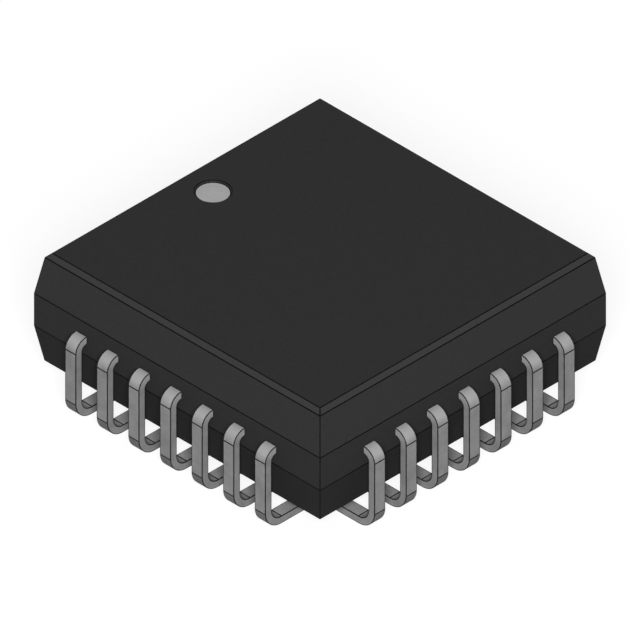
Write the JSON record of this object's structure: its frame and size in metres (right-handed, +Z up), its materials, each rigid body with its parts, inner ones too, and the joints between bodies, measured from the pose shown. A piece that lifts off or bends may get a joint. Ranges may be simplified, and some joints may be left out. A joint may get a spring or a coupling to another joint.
{
  "type": "integrated circuit",
  "caption": "Square moulded integrated circuit in a plastic chip carrier, with J-bent leads on all four sides and a round mark by the first lead.",
  "frame": {"origin": "centre of the seating plane, the plane of the undersides of the lead feet", "axes": "+Z up through the top face; -X towards the row that holds the first lead and the round mark; +Y completes the right-handed frame, so the lead numbers run from -X to -Y to +X to +Y"},
  "size_m": [0.0124, 0.0124, 0.0046],
  "materials": {
    "mould_compound": "fine matte, black filled epoxy",
    "marking_ink": "matte pale grey ink",
    "tinned_lead": "matte tin plate on copper alloy",
    "lead_frame_copper": "plain rolled copper alloy",
    "die_adhesive": "silver-filled epoxy",
    "silicon": "polished silicon",
    "bond_wire_gold": "bright drawn gold"
  },
  "bodies": {
    "root": {"moulded_body": "mould_compound", "pin_one_dot": "marking_ink", "lead_01": "tinned_lead", "lead_02": "tinned_lead", "lead_03": "tinned_lead", "lead_04": "tinned_lead", "lead_05": "tinned_lead", "lead_06": "tinned_lead", "lead_07": "tinned_lead", "lead_08": "tinned_lead", "lead_09": "tinned_lead", "lead_10": "tinned_lead", "lead_11": "tinned_lead", "lead_12": "tinned_lead", "lead_13": "tinned_lead", "lead_14": "tinned_lead", "lead_15": "tinned_lead", "lead_16": "tinned_lead", "lead_17": "tinned_lead", "lead_18": "tinned_lead", "lead_19": "tinned_lead", "lead_20": "tinned_lead", "lead_21": "tinned_lead", "lead_22": "tinned_lead", "lead_23": "tinned_lead", "lead_24": "tinned_lead", "lead_25": "tinned_lead", "lead_26": "tinned_lead", "lead_27": "tinned_lead", "lead_28": "tinned_lead", "die_paddle": "lead_frame_copper", "die_attach": "die_adhesive", "die": "silicon", "bond_wires_west": "bond_wire_gold", "bond_wires_south": "bond_wire_gold", "bond_wires_east": "bond_wire_gold", "bond_wires_north": "bond_wire_gold"}
  },
  "joints": []
}
